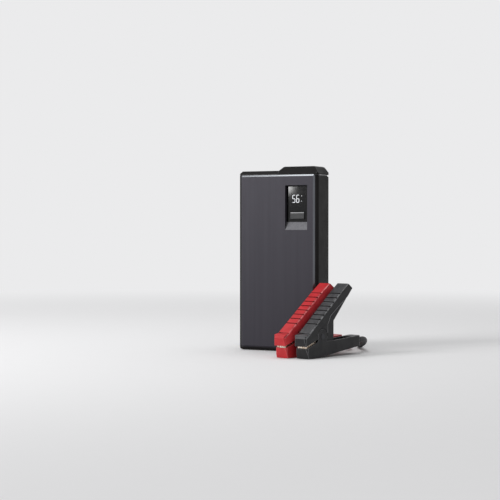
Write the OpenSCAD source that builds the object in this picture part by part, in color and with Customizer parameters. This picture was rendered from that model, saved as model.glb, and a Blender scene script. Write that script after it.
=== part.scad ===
// Jump starter pack with its clamp lead.
// The pack stands on its base, centred on the origin, with its face plate towards -Y and +Z up.
// The two clamps lie on the same surface in front of it, and their lead runs round behind the pack.

/* [Pack housing] */
// Width of the pack across its face
pack_w = 81.5; // [80:0.5:96]
// Depth of the pack from face plate to back
pack_d = 28.6; // [28.2:0.2:36]
// Height of the housing up to the seam under the cap
housing_h = 164; // [162:1:180]
// Wall of the housing shells
wall = 2; // [1.8:0.1:2.3]
// Radius of the four upright edges
edge_r = 3; // [2.6:0.1:4]
// Radius of the two bottom corners in front view
corner_r = 4; // [3:0.5:6]
// Radius of the bottom edges in side view
foot_r = 2.6; // [2.4:0.1:3]
// Bevel round the top edge of the housing
rim_bevel = 0.8; // [0.4:0.1:1]
// Distance of the seam between the shells from the back
seam_from_back = 12; // [11:0.5:14]

/* [Face plate] */
// How far the face plate stands in front of the housing
plate_proud = 1.6; // [1.4:0.1:1.8]
// How deep the face plate is let into the housing
plate_let_in = 0.6; // [0.4:0.1:0.8]
// Margin of black housing beside and below the plate
plate_margin = 2.8; // [2.6:0.1:4]
// Bright cut bevel round the plate
plate_bevel = 1.4; // [1:0.1:1.5]
// Corner radius of the plate
plate_r = 2; // [1.5:0.1:3]

/* [Display window] */
// Width of the window
window_w = 22.4; // [22:0.2:25]
// Height of the window with its sill
window_h = 41.3; // [40:0.1:44]
// Distance of the window's right edge from the pack's right side
window_from_side = 10; // [9.5:0.1:12]
// Distance of the window's top edge from the top of the housing
window_from_top = 9.8; // [8:0.1:12]
// Height of the sloped sill at the foot of the window
sill_h = 7.3; // [6:0.1:8]
// Wall of the tunnel behind the window
tunnel_wall = 1; // [0.8:0.1:1.2]
// Thickness of the smoked lens
lens_t = 1.5; // [1.2:0.1:1.8]
// Width of the power button
button_w = 14.4; // [12:0.1:17]
// Height of the power button
button_h = 6.5; // [6:0.1:8]
// Height of the button's centre above the sill's upper edge
button_rise = 6; // [5.6:0.1:8]
// How far the button stands out of the lens
button_proud = 1.2; // [0.9:0.1:1.6]
// Travel of the power button
button_travel = 0.6; // [0.3:0.05:0.7]

/* [Cap and port cover] */
// Height of the fixed cap above the housing
cap_rise = 4; // [3:0.1:5]
// Height of the hinged port cover above the housing
cover_rise = 7.7; // [7:0.1:9]
// Thickness of the deck that closes the housing
deck_t = 3; // [2.4:0.1:3.5]
// Wall of the port cover
cover_wall = 1.5; // [1.2:0.1:1.6]
// Radius of the hinge knuckles
knuckle_r = 2; // [1.8:0.05:2.1]
// Radius of the hinge pin
hinge_pin_r = 0.8; // [0.6:0.05:0.9]
// Radius of the work light's lens
light_r = 6; // [5:0.25:6.5]

/* [Ports] */
// Width of the jump socket
socket_w = 21; // [20.5:0.5:22]
// Thickness of the jump socket
socket_d = 8.6; // [8.4:0.1:8.8]
// Height of the jump socket
socket_h = 24; // [22:1:28]
// Depth of the well that the plug's nose enters
well_h = 6; // [5:0.5:8]
// Distance between the two jump contacts
contact_pitch = 11; // [10:0.25:12]
// Radius of the bullet contacts
bullet_r = 2.5; // [2.2:0.05:2.6]
// Width of the USB-A port
usb_a_w = 13.1; // [12.6:0.1:13.4]
// Thickness of the USB-A port
usb_a_t = 5.7; // [5.4:0.1:5.8]
// Width of the USB-C port
usb_c_w = 9; // [8.6:0.1:9.4]
// Thickness of the USB-C port
usb_c_t = 3.3; // [3.1:0.1:3.5]

/* [Inside] */
// Distance of the circuit board's lower edge below the top of the housing
board_drop = 59; // [56:1:70]
// Gap between the bus bars' feet and the circuit board
board_gap = 0.8; // [0.6:0.1:15]
// Gap between the battery tray and the screw bosses
tray_clear = 0.55; // [0.4:0.05:3]
// Thickness of one battery cell
cell_t = 6.6; // [6.2:0.1:6.8]
// Thickness of the circuit board
board_t = 1.6; // [1.2:0.1:1.8]
// Thickness of the battery tray's walls
tray_t = 1.2; // [1:0.1:1.4]

/* [Clamps] */
// Width of a clamp
clamp_w = 13.4; // [13:0.1:15]
// Wall of the clamp's handles
grip_wall = 1.55; // [1.3:0.05:1.6]
// Length of the lower handle from the foot of the nose
tail_len = 75; // [68:1:80]
// Height of the clamp's closed nose
nose_h = 20.6; // [20.2:0.1:21.6]
// Height of the slot between the jaws' shells at the front
mouth_gap = 2.4; // [2:0.1:2.6]
// Slope of the ribbed back of the upper handle in degrees
arm_slope = 38.2; // [37:0.1:39.5]
// Length of the ribbed back
rib_run = 56; // [54:0.2:58]
// Distance between two grip grooves
rib_pitch = 5.9; // [5.5:0.1:6]
// Number of evenly spaced grip grooves
rib_count = 7; // [3:1:7]
// Depth of a grip groove
groove_h = 0.9; // [0.5:0.1:1]
// Width of a grip groove
groove_w = 0.9; // [0.6:0.1:1.2]
// Bevel along the back of the upper handle
back_bevel = 1; // [0.6:0.1:1.6]
// Distance of the clamp's pivot behind the foot of the nose
pivot_t = 19.4; // [19:0.1:20]
// Height of the clamp's pivot
pivot_z = 18.7; // [18.5:0.1:19]
// Radius of the clamp's pivot pin
pivot_r = 1.6; // [1.4:0.05:1.7]
// Radius of the ears round the pivot
ear_r = 6.6; // [6.2:0.1:6.8]
// Thickness of the copper jaws
jaw_t = 1.2; // [1:0.1:1.4]
// Distance between two jaw teeth
tooth_pitch = 2.6; // [2.2:0.1:3]
// Height of a jaw tooth
tooth_h = 1.5; // [1:0.1:1.8]
// Wire diameter of the clamp's spring
spring_wire = 1; // [0.8:0.05:1.1]
// Turns of the clamp's spring
spring_turns = 3; // [2:1:3]

/* [Lead] */
// Diameter of each lead
lead_d = 5.2; // [4.8:0.1:5.4]
// Length of the jump plug's body
plug_l = 20; // [16:1:26]
// Height of the jump plug's body
plug_h = 9; // [8.8:0.1:10]
// Length of the bullets in front of the plug's nose
bullet_l = 12; // [8:1:13]

/* [Hidden] */
$fn = 48;
eps = 0.01;
fit = 0.05;             // radial clearance of a pin or plug in its bore
gap = 0.15;             // clearance between flat faces that slide or nest
clear = 0.3;            // clearance round what swings

// Housing
face_y = -pack_d / 2;
back_y = pack_d / 2;
front_y = face_y + plate_proud;
side_x = pack_w / 2;
seam_y = back_y - seam_from_back;
inner_front_y = front_y + wall;
inner_back_y = back_y - wall;
lip_h = 1.5;            // height of the tongue at the seam between the shells

// Face plate and window
plate_x = side_x - plate_margin;
plate_z0 = plate_margin;
plate_back_y = front_y + plate_let_in;
window_x1 = side_x - window_from_side;
window_x0 = window_x1 - window_w;
window_z1 = housing_h - window_from_top;
window_z0 = window_z1 - window_h;
window_cx = (window_x0 + window_x1) / 2;
lens_y = inner_front_y;
lens_back_y = lens_y + lens_t;
lens_lap = 2.4;         // how far the lens reaches past the window
button_x = window_cx;
button_z = window_z0 + sill_h + button_rise;
button_lap = 0.7;       // flange that keeps the button behind the lens
button_flange_t = 1;

// Circuit board
board_y = lens_back_y + 2.9;
board_back_y = board_y + board_t;
board_x = side_x - wall - 7.8;
board_z0 = housing_h - board_drop;
light_tube_h = 6;
light_tube_r = light_r + 1.6;
board_z1 = housing_h - light_tube_h - 0.4;
switch_h = board_y - lens_back_y - button_flange_t - button_travel - gap;

// Cap, cover and hinge
hinge_y = back_y - knuckle_r - 0.6;
hinge_z = housing_h + 1.2;
heel_r = knuckle_r + clear;         // rear edge of the cover, round the hinge
trough_r = heel_r + clear;          // trough in the deck that the heel turns in
cover_x0 = 0.3;
cover_bevel = 3.7;
cap_bevel = 2.6;
knuckle_w = 5;
knuckle_x = [cover_x0 + 6.5, side_x - 6.5 - knuckle_w];
cover_knuckle_x = [knuckle_x[0] + knuckle_w + clear, knuckle_x[1] - clear];
light_x = -side_x * 0.55;
light_y = 0.5;
light_t = 2;
light_seat = 0.9;       // width of the step that the light's lens sits on
star_t = 1.5;

// Ports, set in the right half of the deck behind the board
port_web = 1.2;         // deck left between two ports
usb_a_x = cover_x0 + cover_wall + clear + usb_a_w / 2;
socket_x = usb_a_x + usb_a_w / 2 + port_web + socket_w / 2;
usb_c_x = socket_x + 2;
usb_y = board_back_y + 0.1;
usb_a_l = 14;
usb_c_l = 8;
socket_y = hinge_y - trough_r - clear - socket_d / 2;
sleeve_r = bullet_r + 0.5;
sleeve_l = 14;
tail_l = 5;             // solder tail below each contact

// Case screws
screw_x = side_x - wall - 3.6;
screw_z = [12, board_z0 - 3];
boss_r = 3.2;
screw_head_r = 2.8;
screw_r = 1.2;
screw_l = 17;

// Battery
cell_count = 3;
cell_gap = 0.4;
cell_pitch = cell_t + cell_gap;
stack_d = cell_count * cell_pitch - cell_gap;
cavity_mid_y = (inner_front_y + inner_back_y) / 2;
cell_y0 = cavity_mid_y - stack_d / 2 + cell_t / 2;
cell_z0 = wall + tray_t;
cell_fit = 0.2;         // clearance between a cell and the tray
tab_h = 5;
bus_t = 1;
cell_w = 2 * (screw_x - boss_r - tray_clear - tray_t - cell_fit);
cell_h = board_z0 - board_gap - bus_t - tab_h - cell_z0;
cell_top = cell_z0 + cell_h;
tab_x = 10;
tab_t = 0.4;
bus_w = 7;

// Clamps
red_at = [32.4, -70.5];             // foot of the red clamp's nose
black_at = [52.2, -70];             // foot of the black clamp's nose
red_turn = 17.5;                    // turn of each clamp about Z
black_turn = 15;
half_w = clamp_w / 2;
base_in = half_w - grip_wall;       // half width inside the lower handle
neck_out = base_in - gap;           // half width of the upper handle's neck
neck_in = neck_out - 1.6;
jaw_angle = 19;                     // slope of the closed mouth
mouth_z = 9.8;                      // middle of the closed mouth at the front
mouth_t = -2.8;
mouth_end = 10.3;
function mouth(t, dz = 0) = [t, mouth_z + (t - mouth_t) * tan(jaw_angle) + dz];
function nose_in(z) = 1.25 - 0.26 * z;     // inner face of the lower handle's leaning nose wall
pivot = [pivot_t, pivot_z];
ear_clear_r = ear_r + 0.4;
ridge_t = [0.9, nose_h + 1.2];      // front end of the ribbed back
function along(p, a, l) = p + l * [cos(a), sin(a)];
ridge_end = along(ridge_t, arm_slope, rib_run);
end_run = 14;
end_drop = 3;                       // how much flatter the handle's plain end is
arm_top = along(ridge_end, arm_slope - end_drop, end_run);
end_depth = 7.3;
arm_tip = along(arm_top, -36, end_depth);
knee = [pivot_t + 15.6, pivot_z + 12.8];
block_foot = [pivot_t + 9.8, pivot_z + 2];
panel_t = pivot_t + ear_r + 0.6;    // where the handles' sides step back
panel_step = 0.5;
roof_t = 1.8;
ceiling_z = nose_h - 2.9;           // flat seat of the upper jaw
jaw_rear = 9;
groove_from = [0.6, 13.6, 19.8];    // the nose block lies between the first two grooves
tail_h = 9.5;
tail_z = 14.4;                      // height of the lower handle behind the ears
heel = [knee.x + 2, tail_z - 1];    // lower rear corner of the neck, inside the lower handle
rise_t = 14;                        // where the underside starts to rise towards the tail
exit_z = 12;
function rise(t) = (t - rise_t) * (exit_z - tail_h / 2) / (tail_len - rise_t);
boot_root_r = lead_d / 2 + 0.4;
boot_in = 8;
boot_out = 5;
exit_t = tail_len + boot_out;
spring_r = 2.9;
spring_pitch = 1.6;
lead_r = lead_d / 2;

// Point where a lead leaves its clamp, and the way it points
function lead_dir(turn) = [sin(turn), cos(turn), 0];
function lead_exit(at, turn) = [at.x, at.y, exit_z] + exit_t * lead_dir(turn);

// Routes of the two leads along the ground, after they leave their clamps
lay_z = 2.7;
red_route = [
    [57, 15.5, 11.6], [55.5, 25, 9.8], [52, 34.5, 7.4], [47.5, 43.5, 5], [43, 52.5, 3.4],
    [38.5, 61.5, lay_z], [34, 70.5, lay_z], [28.5, 79.5, lay_z], [21.5, 88, lay_z],
    [13, 95.5, lay_z], [3, 101.5, lay_z], [-8, 105, lay_z], [-20, 105, lay_z], [-31.5, 101.5, lay_z],
    [-41.5, 94.5, lay_z], [-48.5, 85, lay_z], [-51.5, 74.5, lay_z], [-50.5, 67.5, 3.4],
];
black_route = [
    [73.5, 17, 11.6], [71, 26.5, 9.6], [66.5, 35.5, 7], [61, 44, 4.6], [56, 53, 3],
    [51.5, 62.5, lay_z], [47, 72, lay_z], [41.5, 81.5, lay_z], [35.5, 90.5, lay_z],
    [28, 98.5, lay_z], [18.5, 105, lay_z], [7.5, 110, lay_z], [-4, 113, lay_z], [-16.5, 113.5, lay_z],
    [-28.5, 111, lay_z], [-39.5, 106, lay_z], [-49.5, 98, lay_z], [-57.5, 88, lay_z],
    [-61, 76.5, 3.2],
];
// The plug lies behind the pack
plug_at = [-53, 57.5];              // middle of the plug's rear face
plug_turn = 10;                     // turn of the plug from -Y about Z
plug_z = plug_h / 2;
plug_nose = [18.4, 6, 6];
plug_w = contact_pitch + 10;
plug_dir = [sin(plug_turn), -cos(plug_turn), 0];
plug_side = [cos(plug_turn), sin(plug_turn), 0];
function plug_entry(s) = [plug_at.x, plug_at.y, plug_z] + s * contact_pitch / 2 * plug_side;

// ---------- shared shapes ----------

// Rectangle with round corners, centred
module round_rect(w, h, r) {
    square([w - 2 * r, h], center = true);
    square([w, h - 2 * r], center = true);
    for (sx = [-1, 1], sy = [-1, 1]) translate([sx * (w / 2 - r), sy * (h / 2 - r)]) circle(r);
}

// Box given by its low and high corners
module span(lo, hi) {
    translate(lo) cube(hi - lo);
}

// Side view, drawn as depth and height, spread along X from x0 to x1
module side_prism(x0, x1) {
    translate([x0, 0, 0]) rotate([90, 0, 90]) linear_extrude(x1 - x0) children();
}

// Front view, drawn as width and height, spread along Y from y0 to y1
module front_prism(y0, y1) {
    translate([0, y1, 0]) rotate([90, 0, 0]) linear_extrude(y1 - y0) children();
}

// Cylinder along X
module x_rod(x0, x1, r, y = 0, z = 0) {
    translate([x0, y, z]) rotate([0, 90, 0]) cylinder(h = x1 - x0, r = r);
}

// Cylinder along Y
module y_rod(y0, y1, r, x = 0, z = 0) {
    translate([x, y1, z]) rotate([90, 0, 0]) cylinder(h = y1 - y0, r = r);
}

// Rings of a tube that follows path, square to it, turned to keep ref on one side
function unit(v) = v / norm(v);
function tangent(path, i) = unit(path[min(i + 1, len(path) - 1)] - path[max(i - 1, 0)]);
function ring(c, t, r, sides, ref) =
    let (u = unit(cross(t, ref)), v = cross(u, t))
    [for (k = [0 : sides - 1]) c + r * (cos(360 * k / sides) * u + sin(360 * k / sides) * v)];
function quad(i, k, sides) =
    let (a = i * sides + k, b = i * sides + (k + 1) % sides)
    [[a, a + sides, b], [b, a + sides, b + sides]];

module tube(path, r, sides, ref, ends) {
    n = len(path);
    rings = [for (i = [0 : n - 1])
        let (t = i == 0 ? ends[0] : i == n - 1 ? ends[1] : tangent(path, i))
        each ring(path[i], t, r, sides, ref)];
    walls = [for (i = [0 : n - 2], k = [0 : sides - 1]) each quad(i, k, sides)];
    fan_a = [for (k = [1 : sides - 2]) [0, k, k + 1]];
    last = (n - 1) * sides;
    fan_b = [for (k = [1 : sides - 2]) [last, last + k + 1, last + k]];
    polyhedron(rings, concat(walls, fan_a, fan_b));
}

// ---------- pack housing ----------

// Outline seen from above, drawn in by inset
module plan(inset) {
    translate([0, (front_y + back_y) / 2])
        round_rect(pack_w - 2 * inset, back_y - front_y - 2 * inset, max(edge_r - inset, 0.6));
}

// The housing's outer form drawn in by inset, open-ended past top
module housing_form(inset, top) {
    tall = 2 * housing_h;
    intersection() {
        linear_extrude(top) plan(inset);
        front_prism(face_y - 1, back_y + 1) translate([0, inset + tall / 2])
            round_rect(pack_w - 2 * inset, tall, max(corner_r - inset, 0.6));
        side_prism(-side_x - 1, side_x + 1) translate([(front_y + back_y) / 2, inset + tall / 2])
            round_rect(back_y - front_y - 2 * inset, tall, max(foot_r - inset, 0.6));
    }
}

// Bevel round the top edge of the housing
module rim_cut() {
    for (s = [-1, 1]) {
        translate([s * side_x, 0, housing_h]) rotate([0, 45, 0])
            cube([rim_bevel * sqrt(2), 2 * pack_d, rim_bevel * sqrt(2)], center = true);
    }
    translate([0, back_y, housing_h]) rotate([45, 0, 0])
        cube([2 * pack_w, rim_bevel * sqrt(2), rim_bevel * sqrt(2)], center = true);
}

module housing_walls() {
    difference() {
        housing_form(0, housing_h);
        housing_form(wall, housing_h + 1);
        rim_cut();
    }
}

module case_corners() {
    for (sx = [-1, 1], z = screw_z) translate([sx * screw_x, 0, z]) children();
}

module front_shell() {
    color("#262628") difference() {
        union() {
            intersection() {
                housing_walls();
                span([-side_x, front_y, 0], [side_x, seam_y, housing_h]);
            }
            // tongue that locates the rear shell
            intersection() {
                difference() {
                    housing_form(wall / 2 + gap, housing_h - deck_t - gap);
                    housing_form(wall, housing_h);
                }
                span([-side_x, seam_y - 1, 0], [side_x, seam_y + lip_h, housing_h]);
            }
            case_corners() y_rod(inner_front_y - eps, seam_y - gap, boss_r);
            board_posts();
        }
        plate_seat();
        window_cut(tunnel_wall + gap);
        case_corners() y_rod(inner_back_y - screw_l - 1, seam_y + 1, screw_r + fit);
    }
}

// Posts that carry the circuit board, clear of the lens
module board_posts() {
    side = board_x - 3;
    for (p = [[-side, board_z0 + 6], [-side, board_z1 - 8], [window_x0 - 6.2, board_z1 - 8],
            [side, board_z0 + 3]])
        y_rod(inner_front_y - eps, board_y, 2.2, p.x, p.y);
}

// Shallow recess that the face plate sits in
module plate_seat() {
    span([-plate_x - gap, face_y - 1, plate_z0 - gap], [plate_x + gap, plate_back_y, housing_h + 1]);
}

// Window opening grown by extra on every side
module window_cut(extra) {
    span([window_x0 - extra, face_y - 1, window_z0 - extra],
        [window_x1 + extra, inner_front_y + 1, window_z1 + extra]);
}

module rear_shell() {
    color("#232325") difference() {
        union() {
            difference() {
                intersection() {
                    housing_walls();
                    span([-side_x, seam_y, 0], [side_x, back_y, housing_h]);
                }
                // rebate for the front shell's tongue
                intersection() {
                    housing_form(wall / 2, housing_h + 1);
                    span([-side_x, seam_y - 1, 0], [side_x, seam_y + lip_h + gap, housing_h + 2]);
                }
            }
            case_corners() y_rod(seam_y, inner_back_y + eps, boss_r);
        }
        case_corners() {
            y_rod(seam_y - 1, back_y, screw_r + 0.3);
            y_rod(inner_back_y, back_y + 1, screw_head_r + 0.2);
        }
        x_rod(0, side_x + 1, trough_r + 0.6, hinge_y, hinge_z);
    }
}

module case_screws() {
    color("#6a6a6e") case_corners() {
        difference() {
            union() {
                y_rod(inner_back_y, inner_back_y + 1.6, screw_head_r);
                y_rod(inner_back_y - screw_l, inner_back_y + eps, screw_r);
            }
            for (a = [0, 90]) translate([0, inner_back_y + 1.6, 0]) rotate([0, a, 0])
                cube([3.2, 1.6, 0.7], center = true);
        }
    }
}

// ---------- face plate and window ----------

// Plate with a bevel all round, cut by the bevel's front and side views
module bevelled_plate() {
    h = housing_h - plate_z0;
    b = plate_bevel;
    intersection() {
        front_prism(face_y, plate_back_y) translate([0, plate_z0 + h / 2])
            round_rect(2 * plate_x, h, plate_r);
        linear_extrude(housing_h + 1) polygon([
            [-plate_x + b, face_y], [plate_x - b, face_y], [plate_x, face_y + b],
            [plate_x, plate_back_y], [-plate_x, plate_back_y], [-plate_x, face_y + b]]);
        side_prism(-plate_x - 1, plate_x + 1) polygon([
            [face_y, plate_z0 + b], [face_y + b, plate_z0], [plate_back_y, plate_z0],
            [plate_back_y, housing_h], [face_y + b, housing_h], [face_y, housing_h - b]]);
    }
}

module face_plate() {
    color("#4d4b52") difference() {
        union() {
            bevelled_plate();
            span([window_x0 - tunnel_wall, plate_back_y - 1, window_z0 - tunnel_wall],
                [window_x1 + tunnel_wall, lens_y, window_z1 + tunnel_wall]);
        }
        side_prism(window_x0, window_x1) polygon([
            [face_y, window_z0], [lens_y, window_z0 + sill_h], [lens_y + 1, window_z0 + sill_h],
            [lens_y + 1, window_z1], [face_y - 1, window_z1], [face_y - 1, window_z0]]);
    }
}

module display_lens() {
    color("#0c0c0e") difference() {
        span([window_x0 - lens_lap, lens_y, window_z0 + 2], [window_x1 + lens_lap, lens_back_y,
            window_z1 + lens_lap]);
        button_form(lens_y - 1, lens_back_y + 1, gap);
    }
}

// Button outline from y0 to y1, grown by extra
module button_form(y0, y1, extra) {
    front_prism(y0, y1) translate([button_x, button_z])
        round_rect(button_w + 2 * extra, button_h + 2 * extra, 0.8);
}

module power_button() {
    color("#4a4a4c") {
        button_form(lens_y - button_proud, lens_back_y + eps, 0);
        button_form(lens_back_y, lens_back_y + button_flange_t, button_lap + gap);
    }
}

module button_switch() {
    color("#b8b8b8") translate([button_x, board_y - switch_h, button_z]) {
        span([-3, 0.3, -3], [3, switch_h, 3]);
        y_rod(0, 0.3 + eps, 1.6);
    }
}

module display_module() {
    side = 2.5;
    color("#1c1c1e") span([window_x0 + side, lens_back_y, button_z + button_h / 2 + button_lap + 2],
        [window_x1 - side, board_y, window_z1 - side]);
}

module main_board() {
    left = -board_x + 5;
    can_z = board_z0 + 7;
    color("#1f5a3a") span([-board_x, board_y, board_z0], [board_x, board_back_y, board_z1]);
    color("#202022") {
        span([left, board_back_y, board_z0 + 13], [left + 14, board_back_y + 5, board_z0 + 27]);
        span([left, board_back_y, board_z1 - 20], [left + 10, board_back_y + 2, board_z1 - 10]);
        span([left + 18, board_back_y, can_z], [left + 24, board_back_y + 1.6, can_z + 6]);
    }
    color("#3a3a3c") for (k = [0 : 2]) y_rod(board_y - 2.4, board_y, 4, left + 6 + 9 * k, can_z);
}

// ---------- cap, work light and port cover ----------

module cap_form() {
    intersection() {
        translate([0, 0, housing_h]) linear_extrude(cap_rise) plan(0);
        front_prism(face_y, back_y + 1) polygon([
            [-side_x, housing_h], [0, housing_h], [0, housing_h + cap_rise],
            [-side_x + cap_bevel, housing_h + cap_rise], [-side_x, housing_h + 0.8]]);
        side_prism(-side_x - 1, 1) polygon([
            [front_y, housing_h], [back_y, housing_h], [back_y, housing_h + 0.8],
            [back_y - cap_bevel, housing_h + cap_rise], [front_y + cap_bevel, housing_h + cap_rise],
            [front_y, housing_h + 0.6]]);
    }
}

// Deck that closes the housing and holds the ports and the hinge
module port_deck() {
    color("#202022") difference() {
        union() {
            difference() {
                translate([0, 0, housing_h - deck_t]) linear_extrude(deck_t) plan(wall + gap);
                x_rod(0, side_x, trough_r, hinge_y, hinge_z);
            }
            for (x = knuckle_x) fixed_knuckle(x);
        }
        x_rod(knuckle_x[0] - 1, side_x - 2, hinge_pin_r + fit, hinge_y, hinge_z);
        translate([light_x, light_y, housing_h - deck_t - 1])
            cylinder(h = deck_t + 2, r = light_tube_r + gap);
        port_cuts();
    }
}

module top_cap() {
    color("#242426") difference() {
        union() {
            cap_form();
            translate([light_x, light_y, housing_h - light_tube_h])
                cylinder(h = light_tube_h + eps, r = light_tube_r);
        }
        translate([light_x, light_y, 0]) work_light_bores();
    }
}

// Barrel that carries the hinge pin, with its web down to the deck
module fixed_knuckle(x) {
    x_rod(x, x + knuckle_w, knuckle_r, hinge_y, hinge_z);
    span([x, hinge_y - knuckle_r, housing_h - deck_t], [x + knuckle_w, inner_back_y - gap, housing_h]);
}

module work_light_bores() {
    top = housing_h + cap_rise;
    translate([0, 0, top - light_t - 0.3]) cylinder(h = light_t + 1, r = light_r + gap);
    translate([0, 0, housing_h - light_tube_h - 1]) cylinder(h = 40, r = light_r - light_seat);
    translate([0, 0, housing_h - light_tube_h - 1]) cylinder(h = star_t + 1, r = light_r + gap);
}

module work_light_lens() {
    color("#e8eef2") translate([light_x, light_y, housing_h + cap_rise - light_t - 0.3])
        cylinder(h = light_t, r = light_r);
}

module work_light_led() {
    color("#f3efc8") translate([light_x, light_y, housing_h - light_tube_h]) {
        cylinder(h = star_t, r = light_r);
        translate([0, 0, star_t - eps]) cylinder(h = 1.2, r = 1.8);
    }
}

// Openings in the deck for the three ports
module port_cuts() {
    span([usb_a_x - usb_a_w / 2 - gap, usb_y - gap, board_z1 - 1],
        [usb_a_x + usb_a_w / 2 + gap, usb_y + usb_a_t + gap, housing_h + 1]);
    span([usb_c_x - usb_c_w / 2 - gap, usb_y - gap, board_z1 - 1],
        [usb_c_x + usb_c_w / 2 + gap, usb_y + usb_c_t + gap, housing_h + 1]);
    span([socket_x - socket_w / 2 - gap, socket_y - socket_d / 2 - gap, board_z1 - 1],
        [socket_x + socket_w / 2 + gap, socket_y + socket_d / 2 + gap, housing_h + 1]);
}

// Cover seen from the side, drawn in by inset, with a round heel at the hinge
module cover_side(inset) {
    top = housing_h + cover_rise - inset;
    heel = heel_r - inset;
    lift = hinge_z - housing_h;
    union() {
        polygon([
            [front_y + inset, housing_h - inset], [front_y + inset, housing_h + 0.8],
            [front_y + cover_bevel - 0.5 + inset, top], [hinge_y - 1.2 - inset, top],
            [hinge_y + heel * 0.97, hinge_z + heel * 0.25], [hinge_y, hinge_z],
            [hinge_y, housing_h - inset]]);
        intersection() {
            translate([hinge_y, hinge_z]) circle(heel);
            translate([hinge_y - heel, hinge_z - lift]) square([2 * heel, heel + lift]);
        }
    }
}

// Cover seen from the front, drawn in by inset
module cover_front(inset) {
    top = housing_h + cover_rise - inset;
    x0 = cover_x0 + inset;
    x1 = side_x - inset;
    polygon([
        [x0, housing_h - inset], [x1, housing_h - inset], [x1, housing_h + 1.2],
        [x1 - cover_bevel * 0.7, top - 2], [x1 - cover_bevel, top - 0.5], [x1 - cover_bevel - 1.5, top],
        [x0 + 5.5, top], [x0 + 4.3, top - 0.4], [x0, housing_h + cap_rise - 0.2]]);
}

module cover_form(inset) {
    intersection() {
        translate([0, 0, housing_h - inset]) linear_extrude(cover_rise + 1) plan(inset);
        front_prism(face_y, back_y + 1) cover_front(inset);
        side_prism(0, side_x + 1) cover_side(inset);
    }
}

module port_cover() {
    barrel_x = cover_knuckle_x;
    color("#29292b") difference() {
        union() {
            difference() {
                cover_form(0);
                difference() {
                    cover_form(cover_wall);
                    // solid heel that carries the barrel
                    span([0, hinge_y - heel_r, 0], [side_x, back_y, hinge_z + heel_r]);
                }
            }
            x_rod(barrel_x[0], barrel_x[1], knuckle_r, hinge_y, hinge_z);
        }
        for (x = knuckle_x)
            x_rod(x - clear, x + knuckle_w + clear, knuckle_r + 0.4, hinge_y, hinge_z);
        for (x = knuckle_x)
            span([x - clear, hinge_y - knuckle_r - 0.4, housing_h - 1],
                [x + knuckle_w + clear, back_y, hinge_z]);
        x_rod(cover_x0 - 1, side_x - 2, hinge_pin_r + fit, hinge_y, hinge_z);
    }
}

module cover_hinge_pin() {
    color("#9a9a9c") x_rod(knuckle_x[0] - 0.5, knuckle_x[1] + knuckle_w + 0.5, hinge_pin_r, hinge_y,
        hinge_z);
}

// ---------- ports ----------

module at_contacts() {
    for (s = [-1, 1]) translate([socket_x + s * contact_pitch / 2, socket_y, 0]) children();
}

module jump_socket() {
    top = housing_h;
    color("#1b2f52") difference() {
        span([socket_x - socket_w / 2, socket_y - socket_d / 2, top - socket_h],
            [socket_x + socket_w / 2, socket_y + socket_d / 2, top]);
        span([socket_x - plug_nose.x / 2 - 0.3, socket_y - plug_nose.y / 2 - 0.3, top - well_h],
            [socket_x + plug_nose.x / 2 + 0.3, socket_y + plug_nose.y / 2 + 0.3, top + 1]);
        at_contacts() translate([0, 0, top - socket_h - 1]) cylinder(h = socket_h + 1, r = sleeve_r + fit);
    }
}

module jump_contacts() {
    top = housing_h - well_h;
    color("#c9a24a") at_contacts() {
        difference() {
            translate([0, 0, top - sleeve_l]) cylinder(h = sleeve_l, r = sleeve_r);
            translate([0, 0, top - sleeve_l + 2]) cylinder(h = sleeve_l, r = bullet_r + fit);
        }
        translate([0, 0, housing_h - socket_h - tail_l])
            cylinder(h = socket_h - well_h - sleeve_l + tail_l + eps, r = 1.6);
    }
}

// Steel shell of a port with its tongue; w and t are the outer size, l the depth
module port_shell(x, w, t, l, r, tongue_t) {
    sheet = 0.35;
    back = usb_y + t / 2;
    translate([x, back, housing_h - l]) {
        color("#b9babd") difference() {
            linear_extrude(l) round_rect(w, t, r);
            translate([0, 0, 1.2]) linear_extrude(l) round_rect(w - 2 * sheet, t - 2 * sheet, r - sheet);
        }
        color("#151517") translate([-w / 2 + 1.1, -tongue_t / 2, 1.2])
            cube([w - 2.2, tongue_t, l - 1.8]);
    }
}

module usb_a_port() {
    port_shell(usb_a_x, usb_a_w, usb_a_t, usb_a_l, 0.6, 1.9);
}

module usb_c_port() {
    port_shell(usb_c_x, usb_c_w, usb_c_t, usb_c_l, 1.5, 0.7);
}

// ---------- battery ----------

module battery_tray() {
    w = cell_w / 2 + cell_fit;
    d = stack_d / 2 + cell_fit;
    y0 = cavity_mid_y - d;
    y1 = cavity_mid_y + d;
    h = cell_h * 0.9;
    color("#1d1d1f") {
        span([-w - tray_t, y0, wall], [w + tray_t, y1, wall + tray_t]);
        for (s = [0, 1]) mirror([s, 0, 0]) {
            span([w, y0, wall], [w + tray_t, y1, wall + h]);
            for (y = [y0 - 0.6, y1]) span([w - 4, y, wall], [w + tray_t, y + 0.6, wall + h]);
        }
    }
}

module battery_cells() {
    for (k = [0 : cell_count - 1]) translate([0, cell_y0 + k * cell_pitch, 0]) {
        color("#8d9298") translate([0, 0, cell_z0]) linear_extrude(cell_h)
            round_rect(cell_w, cell_t, 1.6);
        color("#c8c2b0") for (s = [-1, 1])
            span([s * tab_x - bus_w / 2, -tab_t / 2, cell_top - eps],
                [s * tab_x + bus_w / 2, tab_t / 2, cell_top + tab_h]);
    }
}

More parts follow.
